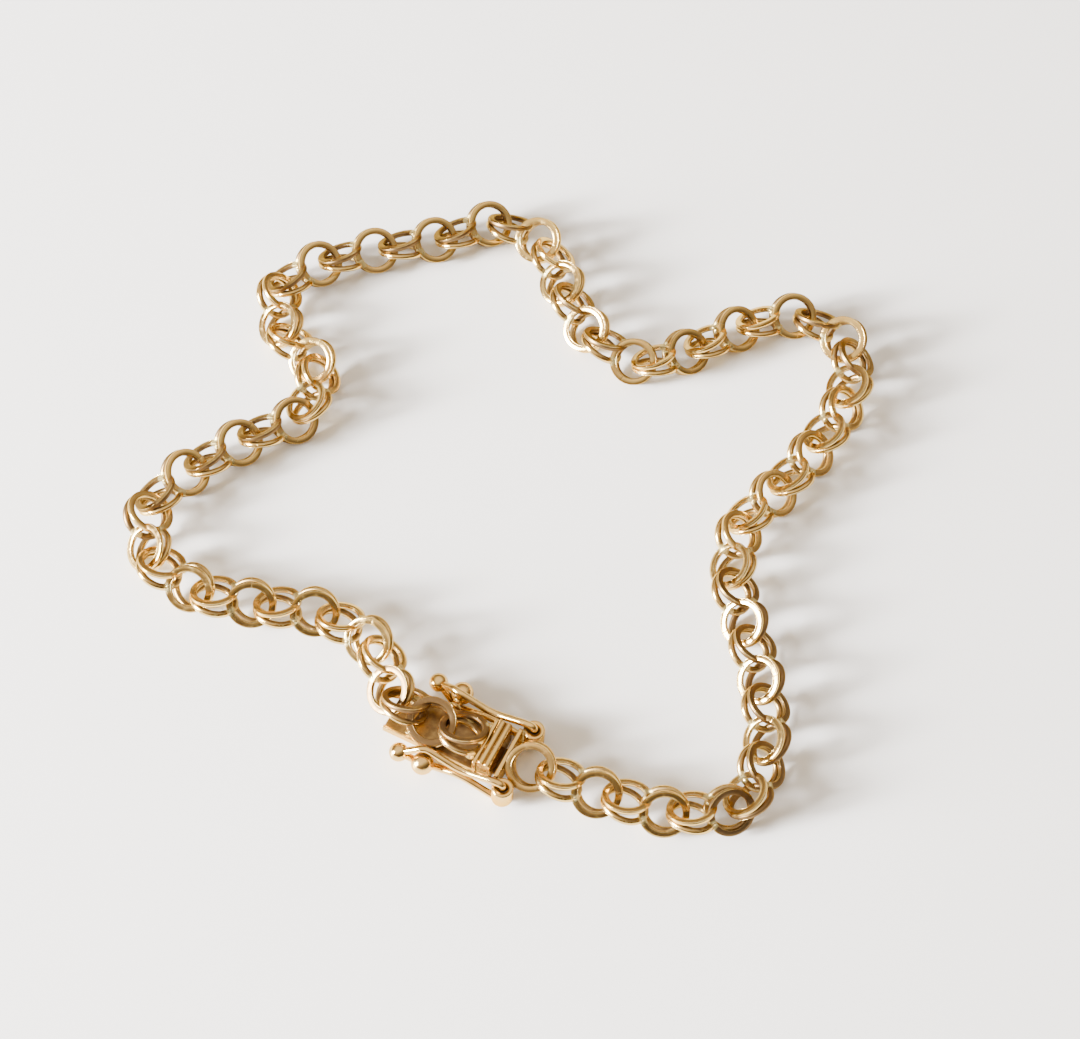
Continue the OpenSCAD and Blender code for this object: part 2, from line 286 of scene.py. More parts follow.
class Shape:
    """A mesh that grows piece by piece, with painted shade, solder and tone on every point."""

    def __init__(self) -> None:
        """Starts empty."""
        self.points: list[Vector] = []
        self.faces: list[tuple[int, ...]] = []
        self.wear: list[ShadeAndWear] = []

    def loft(self, rows: list, place: Matrix, wear: object = PLAIN, ring: bool = False) -> None:
        """Joins closed rows of points into a closed skin.

        Args:
            rows: Rows of equally many points.
            place: Sets the rows in the object's frame.
            wear: Painted shade, solder and tone for all points, or a row of them for each row.
            ring: Whether the last row joins the first; otherwise both ends get a cap.
        """
        start, size, count = len(self.points), len(rows[0]), len(rows)
        for i, row in enumerate(rows):
            self.points += [place @ point for point in row]
            self.wear += wear[i] if isinstance(wear, list) else [wear] * size
        for i in range(count if ring else count - 1):
            here, there = start + i * size, start + (i + 1) % count * size
            for j in range(size):
                k = (j + 1) % size
                self.faces.append((here + j, here + k, there + k, there + j))
        if not ring:
            self.faces.append(tuple(start + j for j in range(size)))
            self.faces.append(tuple(start + (count - 1) * size + j for j in reversed(range(size))))

    def lathe(self, profile: list, place: Matrix, sides: int) -> None:
        """Turns a profile about Z.

        Args:
            profile: Radius and height of its points.
            place: Sets the turned form in the object's frame.
            sides: Points round the axis.
        """
        around = [unit(360 * j / sides) for j in range(sides)]
        self.loft([[Vector((r * a.x, r * a.y, z)) for a in around] for r, z in profile], place)

    def sweep(self, path: list, radius: object, sides: int = 14) -> None:
        """Draws round wire along a path.

        Args:
            path: Points of its middle line, in the object's frame.
            radius: The wire's radius at a share of its length.
            sides: Points round the wire.
        """
        rows, across, last = [], None, len(path) - 1
        around = [unit(360 * j / sides) for j in range(sides)]
        for i, point in enumerate(path):
            ahead = (path[min(i + 1, last)] - path[max(i - 1, 0)]).normalized()
            across = ahead.orthogonal() if across is None else across - ahead * across.dot(ahead)
            across.normalize()
            up, r = ahead.cross(across), radius(i / last)
            rows.append([point + r * (a.x * across + a.y * up) for a in around])
        self.loft(rows, Matrix())

    def prism(
        self, outline: list, low: float, high: float, place: Matrix, bevel: float, wear: ShadeAndWear = PLAIN,
    ) -> None:
        """Extrudes an outline along Z with rounded rims.

        Args:
            outline: Its points, anticlockwise.
            low: Where it starts.
            high: Where it ends.
            place: Sets it in the object's frame.
            bevel: Radius of its rims.
            wear: Painted shade, solder and tone of all its points.
        """
        def drawn_in(by: float, z: float) -> list[Vector]:
            """The outline, smaller by a distance all round, at a height."""
            row = []
            for i, (x, y) in enumerate(outline):
                before, after = Vector(outline[i - 1]), Vector(outline[(i + 1) % len(outline)])
                here = Vector((x, y))
                one, two = (here - before).normalized(), (after - here).normalized()
                inward = Vector((-one.y - two.y, one.x + two.x)) / max(0.3, 1 + one.dot(two))
                row.append(Vector((x + by * inward.x, y + by * inward.y, z)))
            return row

        rim = [(bevel * (1 - math.sin(a)), bevel * (1 - math.cos(a))) for a in (0, 0.52, 1.05, math.pi / 2)]
        rows = [drawn_in(by, low + up) for by, up in rim]
        rows += [drawn_in(by, high - up) for by, up in reversed(rim)]
        self.loft(rows, place, wear)

    def lump(
        self, middle: Vector, radii: tuple, place: Matrix, wear: ShadeAndWear = SOLDER, uneven: float = 0.14,
    ) -> None:
        """Adds a drop of metal with an uneven skin.

        Args:
            middle: Its middle.
            radii: Its radii along X, Y and Z.
            place: Sets it in the object's frame.
            wear: Painted shade, solder and tone of all its points.
            uneven: How much its radius varies.
        """
        rows = []
        for i in range(1, LUMP_ROWS):
            ring = unit(180 * i / LUMP_ROWS)
            row = []
            for j in range(LUMP_SIDES):
                a = unit(360 * j / LUMP_SIDES)
                way = Vector((ring.y * a.x, ring.y * a.y, ring.x))
                size = 1 + uneven * noise.noise(1.6 * way + 3.7 * (place @ middle))
                row.append(middle + Vector((w * r * size for w, r in zip(way, radii))))
            rows.append(row)
        self.loft(rows, place, wear)

    def paint_shade_box(self, low: tuple, high: tuple, shade_and_patina: float, rough: float = 0.0) -> None:
        """Paints shade into the points in a box, by darkening them.

        Args:
            low: The box's low corner.
            high: Its high corner.
            shade_and_patina: The least painted shade and patina that they get.
            rough: The least share of solder that they get.
        """
        for i, (point, (dark, solder, shade)) in enumerate(zip(self.points, self.wear)):
            if all(a <= x <= b for a, x, b in zip(low, point, high)):
                self.wear[i] = (max(dark, shade_and_patina), max(solder, rough), shade)

    def build(self, name: str, material: bpy.types.Material) -> bpy.types.Object:
        """Makes the object in metres.

        Args:
            name: Its name.
            material: Its finish.

        Returns:
            The object, smooth over its rims.
        """
        mesh = bpy.data.meshes.new(name)
        mesh.from_pydata([MM * p for p in self.points], [], self.faces)
        skin = bmesh.new()
        skin.from_mesh(mesh)
        bmesh.ops.recalc_face_normals(skin, faces=skin.faces)
        skin.to_mesh(mesh)
        skin.free()
        # The first channel of this colour attribute is painted shade, partly patina
        colours = mesh.attributes.new("wear", "FLOAT_COLOR", "POINT")
        colours.data.foreach_set("color", [c for wear in self.wear for c in (*wear, 1.0)])
        mesh.shade_smooth()
        mesh.materials.append(material)
        piece = bpy.data.objects.new(name, mesh)
        bpy.context.scene.collection.objects.link(piece)
        piece.modifiers.new("even_normals", "WEIGHTED_NORMAL")
        return piece


def rounded(outline: list, radius: float) -> list:
    """Rounds the corners of an outline.

    Args:
        outline: Its corners, in order.
        radius: Radius of the rounding.

    Returns:
        The outline's new points.
    """
    points = []
    for i, corner in enumerate(outline):
        here = Vector(corner)
        one = (Vector(outline[i - 1]) - here).normalized()
        two = (Vector(outline[(i + 1) % len(outline)]) - here).normalized()
        half = one.angle(two) / 2
        start, end = here + one * radius / math.tan(half), here + two * radius / math.tan(half)
        for k in range(CORNER_STEPS + 1):
            t = k / CORNER_STEPS
            points.append(tuple(start * (1 - t) ** 2 + here * 2 * t * (1 - t) + end * t ** 2))
    return points


@dataclass(frozen=True)
class CreviceShade:
    """Paints shade into the points that lie deep between wires, where rays soon meet metal."""

    reach: float = 0.9
    rays: int = 12
    shallow: float = 0.14
    deep: float = 0.52
    clear: float = 0.012
    golden: float = 137.5

    def ways(self) -> list[Vector]:
        """Directions of the rays over a surface that faces +Z."""
        found = []
        for k in range(self.rays):
            share = (k + 0.5) / self.rays
            around = unit(self.golden * k) * math.sqrt(share)
            found.append(Vector((around.x, around.y, math.sqrt(1 - share))))
        return found

    def darken(self, pieces: list[bpy.types.Object]) -> None:
        """Paints shade into the crevices, by raising their first channel of shade and patina.

        Args:
            pieces: All pieces, each with its painted shade, solder and tone.
        """
        points, faces = [], []
        for piece in pieces:
            start = len(points)
            points += [vertex.co for vertex in piece.data.vertices]
            faces += [[start + i for i in face.vertices] for face in piece.data.polygons]
        metal = BVHTree.FromPolygons(points, faces)
        ways, reach = self.ways(), self.reach * MM
        for piece in pieces:
            wear = piece.data.attributes["wear"].data
            for vertex, worn in zip(piece.data.vertices, wear):
                normal = vertex.normal
                across = normal.orthogonal().normalized()
                up = normal.cross(across)
                start = vertex.co + normal * self.clear * MM
                depth = 0.0
                for way in ways:
                    met = metal.ray_cast(start, across * way.x + up * way.y + normal * way.z, reach)[3]
                    if met is not None:
                        depth += (1 - met / reach) / self.rays
                dark, solder, shade, _ = worn.color
                # Painted shade: the more rays meet metal nearby, the darker the point
                dark = max(dark, smooth(self.shallow, self.deep, depth))
                worn.color = (dark, solder, shade, 1.0)


def dress(shape: Shape, name: str, node: str, body: str, slot: Slot, finishes: dict) -> None:
    """Makes a piece, sets it in its node's place and reports it.

    Args:
        shape: Its mesh.
        name: The piece's name.
        node: The node that it stands for.
        body: The body that it rides on.
        slot: The slot of its finish.
        finishes: Material of each slot.
    """
    piece = shape.build(name, finishes[slot])
    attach(piece, body)
    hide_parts(node)
    ours = [[end(point[k] for point in shape.points) * MM for k in range(3)] for end in (min, max)]
    off = max(abs(a - b) for mine, cad in zip(ours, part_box(node)) for a, b in zip(mine, cad)) / MM
    LOG.info("%s for %s: %d faces, box off by %.3f mm", name, node, len(shape.faces), off)


@dataclass(frozen=True)
class RingPair:
    """Two wire rings side by side, each with a polished flat on its outer face."""

    outside: float = 3.35
    wire: float = 0.48
    near_gap: float = -0.14
    far_gap: float = 0.72
    flat_depth: float = 0.09
    segments: int = 72
    seam_clear: float = 2.2
    open_seams: float = 0.4
    most_oval: float = 0.006
    twists: tuple[float, float] = (1.0, 3.0)
    solder_edge: tuple[float, float] = (0.32, 0.52)
    tie: Triple = (0.13, 0.30, 0.15)

    @property
    def radius(self) -> float:
        """Radius of the wire's middle line."""
        return (self.outside - self.wire) / 2

    @property
    def middle(self) -> float:
        """Distance between the two rings' middles."""
        return self.wire + (self.near_gap + self.far_gap) / 2

    @property
    def splay(self) -> float:
        """Angle of each ring to the pair's middle plane."""
        return math.degrees(math.atan((self.far_gap - self.near_gap) / (4 * self.radius)))

    def reach(self, tilt: float) -> float:
        """Height of a leaning pair above its lowest point.

        Args:
            tilt: How far the pair leans.

        Returns:
            The distance from its middle to its lowest point.
        """
        lean = unit(tilt)
        spread = lean.x * math.sin(math.radians(self.splay))
        return self.middle / 2 * abs(lean.x) + self.wire / 2 + self.radius * math.hypot(lean.y, spread)

    def section(self) -> list[tuple[float, float]]:
        """Points of the wire's section: how far out and how far up."""
        half = self.wire / 2
        level = half - self.flat_depth
        edge = math.sqrt(half * half - level * level)
        right = [(edge * 0.90, level), (edge * 1.05, level - 0.012)]
        right += [(half * unit(90 - a).x, half * unit(90 - a).y) for a in (52, 70, 90, 112, 134, 157)]
        return right + [(0.0, -half)] + [(-x, y) for x, y in reversed(right)]

    def ring(self, shape: Shape, local: Matrix, place: Matrix, beads: list, chance: random.Random) -> None:
        """Draws one ring with its flat towards +Z.

        Args:
            shape: The mesh that grows.
            local: Sets the ring in the link.
            place: Sets the link in the object's frame.
            beads: Places of the solder in the link.
            chance: Source of the small differences between rings.
        """
        seam = chance.uniform(0, 360)
        dent = 0.955 if chance.random() < self.open_seams else 0.99
        angles = [(360 * j / self.segments, 1.0) for j in range(self.segments)]
        angles = [a for a in angles if abs((a[0] - seam + 180) % 360 - 180) > self.seam_clear]
        groove = ((-1.4, 1.0), (-0.6, 0.985), (0.0, dent), (0.6, 0.985), (1.4, 1.0))
        angles += [(seam + aside, size) for aside, size in groove]
        oval, phase = chance.uniform(0, self.most_oval), chance.uniform(0, 360)
        twist, shade = chance.uniform(*self.twists), chance.random()
        rows, wear = [], []
        half = self.wire / 2
        for angle, size in sorted(angles, key=lambda pair: pair[0] % 360):
            a, wave = unit(angle), unit(2 * angle + phase)
            roll = unit(twist * unit(angle + phase).y)
            row, worn = [], []
            for x, y in self.section():
                u, v = size * (x * roll.x - y * roll.y), size * (x * roll.y + y * roll.x)
                r = self.radius * (1 + oval * (wave.x - 1)) + u
                point = Vector((r * a.x, r * a.y, v))
                near = min(((local @ point) - bead).length for bead in beads)
                # Painted shade on each ring's underside and on the side towards its partner, partly patina;
                # an open seam is fully dark
                deep = 0.75 * smooth(0.0, 1.0, -v / half) + 0.35 * smooth(0.2, 1.0, -u / half)
                if size < 0.97:
                    deep = 1.0
                row.append(point)
                worn.append((min(1.0, deep), 1 - smooth(*self.solder_edge, near), shade))
            rows.append(row)
            wear.append(worn)
        shape.loft(rows, place @ local, wear, ring=True)

    def draw(
        self, shape: Shape, local: Matrix, place: Matrix, toward: int, beads: list, chance: random.Random,
    ) -> None:
        """Draws both rings and the bead that ties them.

        Args:
            shape: The mesh that grows.
            local: Sets the pair in the link.
            place: Sets the link in the object's frame.
            toward: Side along X where the rings spread apart, 1 or -1.
            beads: Places of the solder in the link.
            chance: Source of the small differences between rings.
        """
        for side in (1, -1):
            lean = shift(0, 0, side * self.middle / 2) @ turn(-side * toward * self.splay, "Y")
            mirrored = Matrix.Diagonal((1, 1, side, 1))
            self.ring(shape, local @ lean @ mirrored, place, beads, chance)
        shape.lump(Vector((-toward * self.radius, 0, 0)), self.tie, place @ local, TIE)


@dataclass(frozen=True)
class DoubleLink:
    """Two ring pairs that lean opposite ways and are soldered together at both sides."""

    pair: RingPair = field(default_factory=RingPair)
    pitch: float = 2.6
    tilt: float = 36.0
    bead: float = 0.30
    bead_shape: Triple = (1.1, 0.85, 0.95)
    fillet: Triple = (0.26, 0.16, 0.20)
    fillet_in: float = 0.22

    @property
    def bead_y(self) -> float:
        """How far the solder stands from the link's middle."""
        lean = unit(self.tilt)
        chord = math.sqrt(self.pair.radius ** 2 - self.pitch ** 2 / 4)
        return (self.pair.wire + self.pair.far_gap) / 2 * lean.y + chord * lean.x

    def draw(self, shape: Shape, place: Matrix, chance: random.Random) -> None:
        """Draws the link.

        Args:
            shape: The mesh that grows.
            place: Sets it in the object's frame.
            chance: Source of the small differences between links.
        """
        beads = [Vector((0, side * self.bead_y, 0)) for side in (1, -1)]
        for end in (-1, 1):
            local = shift(end * self.pitch / 2, 0, 0) @ turn(end * self.tilt, "X")
            self.pair.draw(shape, local, place, -end, beads, chance)
        for bead in beads:
            size = self.bead * chance.uniform(0.86, 1.0)
            aside = Vector((chance.uniform(-0.05, 0.05), 0, 0))
            shape.lump(bead + aside, tuple(size * share for share in self.bead_shape), place)
            inner = Vector((chance.uniform(-0.1, 0.1), -math.copysign(self.fillet_in, bead.y), 0))
            shape.lump(bead + inner, self.fillet, place)


@dataclass(frozen=True)
class Chain:
    """The chain's route: heading and roll of each link, and the laws that close it on the clasp."""

    start: float
    start_height: float
    end: float
    end_height: float = 2.0
    link: DoubleLink = field(default_factory=DoubleLink)
    route: tuple = (
        (6, 7), (12, 11), (34, 8), (92, -2), (116, -8), (128, -8), (130, -8), (106, -6), (72, -4),
        (78, -2), (86, 0), (108, 0), (166, 0), (218, 0), (236, 0), (230, 0), (174, 0), (142, 0),
        (134, 0), (174, 0), (228, 0), (220, 0), (222, 0), (240, 0), (302, 0), (342, 0), (284, 0),
        (232, 0), (240, 0), (252, 2), (302, 6), (352, 10), (376, 12), (378, 12), (350, 10), (312, 4),
    )
    loose: float = 2.02
    closing: float = 0.0055
    dip_share: float = 0.12
    descend: int = 2
    climb: int = 4
    first_seed: int = 100

    def bend(self, heads: list, i: int) -> float:
        """Turn of the route at joint i."""
        return (heads[i] if i < len(heads) else 360) - (heads[i - 1] if i > 0 else 0)

    def joint(self, heads: list, i: int) -> float:
        """Distance between the hooked ring pairs at joint i."""
        def change(k: int) -> float:
            """How much the bend changes at joint k."""
            return 0.0 if k < 1 or k > len(heads) else abs(self.bend(heads, k) - self.bend(heads, k - 1))
        return self.loose - self.closing * (change(i) + change(i + 1))

    def length(self, heads: list, i: int) -> float:
        """Distance from joint i to the next one."""
        return self.link.pitch + (self.joint(heads, i) + self.joint(heads, i + 1)) / 2

    def joints(self, heads: list) -> list[Vector]:
        """Places of all joints on the plan."""
        places = [Vector((self.start + self.joint(heads, 0) / 2, 0))]
        for i, head in enumerate(heads):
            places.append(places[-1] + self.length(heads, i) * unit(head))
        return places

    def headings(self) -> list[float]:
        """Leans every heading a little, so that the last link meets the box.

        Returns:
            The headings of the closed route.
        """
        heads = [float(row[0]) for row in self.route]
        for _ in range(6):
            gap = Vector((self.end - self.joint(heads, len(heads)) / 2, 0)) - self.joints(heads)[-1]
            a = b = c = 0.0
            for i, head in enumerate(heads):
                way, long = unit(head), self.length(heads, i)
                a, b, c = a + long * way.y ** 2, b - long * way.x * way.y, c + long * way.x ** 2
            d = a * c - b * b
            v = Vector(((c * gap.x - b * gap.y) / d, (a * gap.y - b * gap.x) / d))
            heads = [h + math.degrees(v.y * unit(h).x - v.x * unit(h).y) for h in heads]
        return heads

    def rest(self, roll: float) -> float:
        """Height of a link's middle when it lies on the surface, rolled over by an angle."""
        return max(self.link.pair.reach(self.link.tilt + roll), self.link.pair.reach(self.link.tilt - roll))

    def lift(self, i: int) -> float:
        """Height of joint i over its rest, where the chain comes down from the clasp."""
        count = len(self.route)
        fore = self.start_height - self.rest(self.route[0][1])
        aft = self.end_height - self.rest(self.route[-1][1])
        return fore * max(0.0, 1 - i / self.descend) + aft * max(0.0, 1 - (count - i) / self.climb)

    def places(self) -> list[Matrix]:
        """Matrices that set the links in the object's frame."""
        heads = self.headings()
        joints = self.joints(heads)
        found = []
        for i, head in enumerate(heads):
            bend = self.dip_share * (self.bend(heads, i) + self.bend(heads, i + 1)) / 2
            fall = math.degrees(math.asin((self.lift(i) - self.lift(i + 1)) / self.length(heads, i)))
            step = (self.joint(heads, i) - self.joint(heads, i + 1)) / 4
            middle = (joints[i] + joints[i + 1]) / 2 + step * unit(head)
            rise = math.sin(math.radians(abs(bend))) * self.link.pitch / 2
            height = self.rest(self.route[i][1]) + (self.lift(i) + self.lift(i + 1)) / 2 + rise
            turned = turn(head, "Z") @ turn(bend + fall, "Y") @ turn(self.route[i][1], "X")
            found.append(shift(middle.x, middle.y, height) @ turned)
        return found

    def dress(self, finishes: dict) -> None:
        """Builds a piece for every link."""
        for i, place in enumerate(self.places(), 1):
            shape = Shape()
            self.link.draw(shape, place, random.Random(self.first_seed + i))
            dress(shape, f"double_link_{i:02d}", f"link_{i:02d}", "bracelet", Slot.LINK, finishes)


ALONG_X = Matrix(((0, 0, 1, 0), (1, 0, 0, 0), (0, 1, 0, 0), (0, 0, 0, 1)))
ALONG_Y = Matrix(((1, 0, 0, 0), (0, 0, -1, 0), (0, 1, 0, 0), (0, 0, 0, 1)))


@dataclass(frozen=True)
class Drop:
    """A drop of solder."""

    middle: Triple
    radii: Triple


@dataclass(frozen=True)
class BoxClasp:
    """The clasp's box: tray with rims, spring housing, mouth wall, pegs and the soldered ring pairs."""

    pair: RingPair = field(default_factory=RingPair)
    length: float = 6.8
    width: float = 3.5
    tray: float = 1.1
    rim: float = 0.3
    sheet: float = 0.25
    housing: float = 2.6
    setback: float = 1.2
    wall_top: float = 2.45
    ring_height: float = 2.3
    pitch: float = 2.15
    tilts: Triple = (-36.0, 12.0, -26.0)
    aside: float = 0.3
    sunk: float = 0.1
    seed: int = 7
    peg_x: float = 0.15
    peg_y: float = 2.87
    peg_z: float = 1.36
    ball: float = 1.5
    neck: float = 0.5
    collar: Triple = (0.44, 0.14, 0.40)

    @property
    def mouth(self) -> float:
        """Where the box ends at its mouth."""
        return self.length / 2

    @property
    def last_ring(self) -> float:
        """Where the last ring pair stands, by the mouth wall."""
        return self.mouth - self.pair.outside / 2 - self.sheet / 3

    @property
    def first_ring(self) -> float:
        """Where the first ring pair stands, which the chain hooks into."""
        return self.last_ring - 2 * self.pitch

    def body(self, shape: Shape) -> None:
        """Draws the tray, the housing and the mouth wall."""
        w, s, top, floor = self.width / 2, self.sheet, self.tray + self.rim, self.tray - self.sheet
        tray = [(-w, floor), (w, floor), (w, top), (w - s, top)]
        tray += [(w - s, self.tray), (s - w, self.tray), (s - w, top), (-w, top)]
        shape.prism(rounded(tray, 0.07), -self.mouth, self.mouth - 0.02, ALONG_X, 0.05)
        h, c = self.housing / 2, self.housing / 2 - s
        back = self.setback - self.mouth
        roof = floor + 0.05
        shell = [(-h, 0), (h, 0), (h, roof), (c, roof), (c, s), (-c, s), (-c, roof), (-h, roof)]
        shape.prism(rounded(shell, 0.05), back, self.mouth, ALONG_X, 0.03)
        block = [(-h + 0.02, 0.02), (h - 0.02, 0.02), (h - 0.02, floor + 0.03), (-h + 0.02, floor + 0.03)]
        shape.prism(rounded(block, 0.05), back + 0.01, back + s, ALONG_X, 0.03)
        wall = [(-w, s), (-c, s), (-c, floor), (c, floor), (c, s), (w, s)]
        wall += [(w, self.wall_top), (-w, self.wall_top)]
        shape.prism(rounded(wall, 0.09), self.mouth - s, self.mouth, ALONG_X, 0.06)

    def peg(self, shape: Shape, side: Side) -> None:
        """Draws a peg: a ball on a waisted neck."""
        out = Matrix.Diagonal((1, side.value, 1, 1)) @ shift(self.peg_x, 0, self.peg_z) @ turn(-90, "X")
        wall, r = self.width / 2 - self.sheet / 2, self.ball / 2
        neck = [(self.neck * 0.85, wall), (self.neck * 0.80, wall + 0.16)]
        neck += [(self.neck / 2 + 0.04, wall + 0.28), (self.neck / 2, wall + 0.4)]
        around = [(r * unit(a).x, self.peg_y + r * unit(a).y) for a in range(-64, 90, 7)]
        shape.lathe(neck + around, out, sides=48)
        shape.lump(Vector((self.peg_x, side.value * (wall + 0.16), self.peg_z)), self.collar, Matrix())

    def rings(self, shape: Shape) -> None:
        """Draws the three soldered ring pairs and their solder."""
        chance = random.Random(self.seed)
        on_tray = [self.tray + self.pair.reach(tilt) for tilt in self.tilts]
        heights = (self.ring_height, on_tray[1], on_tray[2] - self.sunk)
        for k, (tilt, height) in enumerate(zip(self.tilts, heights)):
            middle = Vector((self.first_ring + k * self.pitch, -self.aside if k == 1 else 0, height))
            beads = [Vector(drop.middle) - middle for drop in self.solder()]
            self.pair.draw(shape, turn(tilt, "X"), shift(*middle), -1 if k == 1 else 1, beads, chance)
        for drop in self.solder():
            shape.lump(Vector(drop.middle), drop.radii, Matrix())

    def solder(self) -> list[Drop]:
        """Solder drops on the tray, between the rings and on the wall."""
        low, wall = self.tray + 0.05, self.mouth - self.sheet
        return [
            Drop((-2.3, 1.25, low), (0.34, 0.2, 0.15)),
            Drop((-1.7, -1.3, low), (0.3, 0.2, 0.15)),
            Drop((-0.4, -1.42, 1.25), (0.34, 0.2, 0.2)),
            Drop((-1.15, 1.35, 1.9), (0.26, 0.2, 0.22)),
            Drop((-1.6, -1.2, 1.75), (0.28, 0.22, 0.24)),
            Drop((1.5, 1.28, low), (0.34, 0.2, 0.16)),
            Drop((wall - 0.2, 0.1, 2.3), (0.34, 0.4, 0.26)),
            Drop((wall - 0.05, 1.15, 2.2), (0.22, 0.34, 0.22)),
            Drop((wall - 0.4, -1.2, 2.0), (0.3, 0.24, 0.3)),
        ]

    def dress(self, finishes: dict) -> None:
        """Builds the box's piece."""
        shape = Shape()
        self.body(shape)
        # Painted shade on the tray's floor, which lies deep between the rims and under the rings, with a
        # gritty solder look
        inside = self.width / 2 - self.sheet + 0.01
        low, high = (-self.mouth, -inside, self.tray - 0.1), (self.mouth, inside, self.tray + 0.02)
        shape.paint_shade_box(low, high, shade_and_patina=0.6, rough=0.22)
        for side in Side:
            self.peg(shape, side)
        self.rings(shape)
        dress(shape, "clasp_box", "box", "bracelet", Slot.CLASP, finishes)


@dataclass(frozen=True)
class SpringTongue:
    """The tongue: folded spring leaves, thumb tab, end plate, hinge tubes and the last ring pair."""

    pair: RingPair = field(default_factory=RingPair)
    tilt: float = 36.0
    tip: float = -1.0
    leaf: float = 0.18
    leaf_width: float = 1.98
    low_leaf: float = 0.31
    high_leaf: float = 0.61
    tab: float = 3.46
    tab_length: float = 0.95
    tab_top: float = 2.8
    tab_width: float = 3.44
    plate: float = 4.81
    plate_thick: float = 0.28
    plate_width: float = 3.9
    plate_top: float = 2.36
    tube_x: float = 5.695
    tube_y: float = 2.32
    tube: float = 1.45
    tube_height: float = 1.6
    tube_z: float = 1.36
    tube_edge: float = 0.14
    hole: float = 0.26
    hole_depth: float = 0.56
    dish: tuple = ((0.0, 0.17), (0.03, 0.13), (0.16, 0.06), (0.25, 0.01))
    seam_heights: tuple = (0.75, 1.3, 1.85)
    seam_drop: tuple = (0.17, 0.22, 0.34)
    ring_x: float = 6.645
    ring_z: float = 1.85
    ring_drop: tuple = (0.28, 0.34, 0.28)
    seed: int = 11

    def leaves(self, shape: Shape) -> None:
        """Draws the two leaves and the fold between them."""
        low, high, t = self.low_leaf, self.high_leaf, self.leaf
        r = (high + t - low) / 2
        middle = Vector((self.tip, low + r))
        outer = [tuple(middle + r * unit(a)) for a in range(-100, -261, -16)]
        inner = [tuple(middle + (r - t) * unit(a)) for a in range(-260, -99, 16)]
        end = self.tab + self.tab_length - 0.05
        plate = self.plate + self.plate_thick / 2
        outline = [(plate, low), *outer, (end, high + t), (end, high), *inner, (plate, low + t)]
        half = self.leaf_width / 2
        # The leaves are painted in near-black shade, as they lie in the shadow inside the box
        shape.prism(list(reversed(outline)), -half, half, ALONG_Y, 0.03, SHADED_INSIDE)

    def thumb_tab(self, shape: Shape) -> None:
        """Draws the tab with two rounded ridges and the groove between them."""
        r = self.tab_length / 4 + 0.02
        first, last, z = self.tab + r, self.tab + self.tab_length - r, self.tab_top - r
        ridge_two = [(last + r * unit(a).x, z + r * unit(a).y) for a in range(0, 141, 14)]
        ridge_one = [(first + r * unit(a).x, z + r * unit(a).y) for a in range(40, 181, 14)]
        valley = ((first + last) / 2, z + 0.03)
        foot = [(self.tab, self.high_leaf), (self.tab + self.tab_length, self.high_leaf)]
        half = self.tab_width / 2
        shape.prism([*foot, *ridge_two, valley, *ridge_one], -half, half, ALONG_Y, 0.07)

    def end_plate(self, shape: Shape) -> None:
        """Draws the plate, its tubes and the solder between them."""
        w, t = self.plate_width / 2, self.plate_thick
        outline = [(-w, self.low_leaf), (w, self.low_leaf), (w, self.plate_top), (-w, self.plate_top)]
        shape.prism(rounded(outline, 0.16), self.plate, self.plate + t, ALONG_X, 0.06)
        h, r, hole, edge = self.tube_height / 2, self.tube / 2, self.hole, self.tube_edge
        end = h - self.hole_depth
        half = [(0.02, end), (hole, end), *((hole + out, h - down) for out, down in self.dish)]
        half += [(r - edge * (1 - unit(a).y), h - edge * (1 - unit(a).x)) for a in (0, 30, 60, 90)]
        profile = [(x, -z) for x, z in half] + list(reversed(half))
        for side in Side:
            shape.lathe(profile, shift(self.tube_x, side.value * self.tube_y, self.tube_z), sides=56)
            back = self.plate + t
            for z in self.seam_heights:
                shape.lump(Vector((back + 0.06, side.value * (w - 0.08), z)), self.seam_drop, Matrix())
            spot = Vector((back, side.value * self.pair.radius * 0.45, self.ring_z))
            shape.lump(spot, self.ring_drop, Matrix())

    def dress(self, finishes: dict) -> None:
        """Builds the tongue's piece."""
        shape = Shape()
        self.leaves(shape)
        self.thumb_tab(shape)
        self.end_plate(shape)
        # Painted shade, near black, in the low gap between the thumb tab and the end plate
        shape.paint_shade_box((self.tab - 0.1, -2.0, 0.0), (self.plate + 0.1, 2.0, 1.3), shade_and_patina=0.95)
        bead = Vector((self.plate + self.plate_thick - self.ring_x, 0, 0))
        place = shift(self.ring_x, 0, self.ring_z)
        self.pair.draw(shape, turn(self.tilt, "X"), place, -1, [bead], random.Random(self.seed))
        dress(shape, "spring_tongue", "tongue", "bracelet", Slot.CLASP, finishes)


class Bender:
    """Bends wire in the XZ plane, step by step."""

    def __init__(self, x: float, z: float, heading: float) -> None:
        """Sets the start and the heading, up from +X."""
        self.at = Vector((x, z))
        self.heading = heading
        self.path = [Vector((x, 0, z))]

    def straight(self, length: float) -> None:
        """Goes on straight, in steps of about 0.2 mm."""
        count = max(1, round(length / 0.2))
        for _ in range(count):
            self.at = self.at + unit(self.heading) * length / count
            self.path.append(Vector((self.at.x, 0, self.at.y)))

    def arc(self, radius: float, angle: float) -> None:
        """Bends up by an angle, or down if it is negative.

        Args:
            radius: Radius of the bend.
            angle: How far it bends.
        """
        count = max(3, round(abs(angle) / 5))
        chord = 2 * radius * math.sin(math.radians(abs(angle) / count / 2))
        for _ in range(count):
            self.heading += angle / count / 2
            self.at = self.at + unit(self.heading) * chord
            self.heading += angle / count / 2
            self.path.append(Vector((self.at.x, 0, self.at.y)))


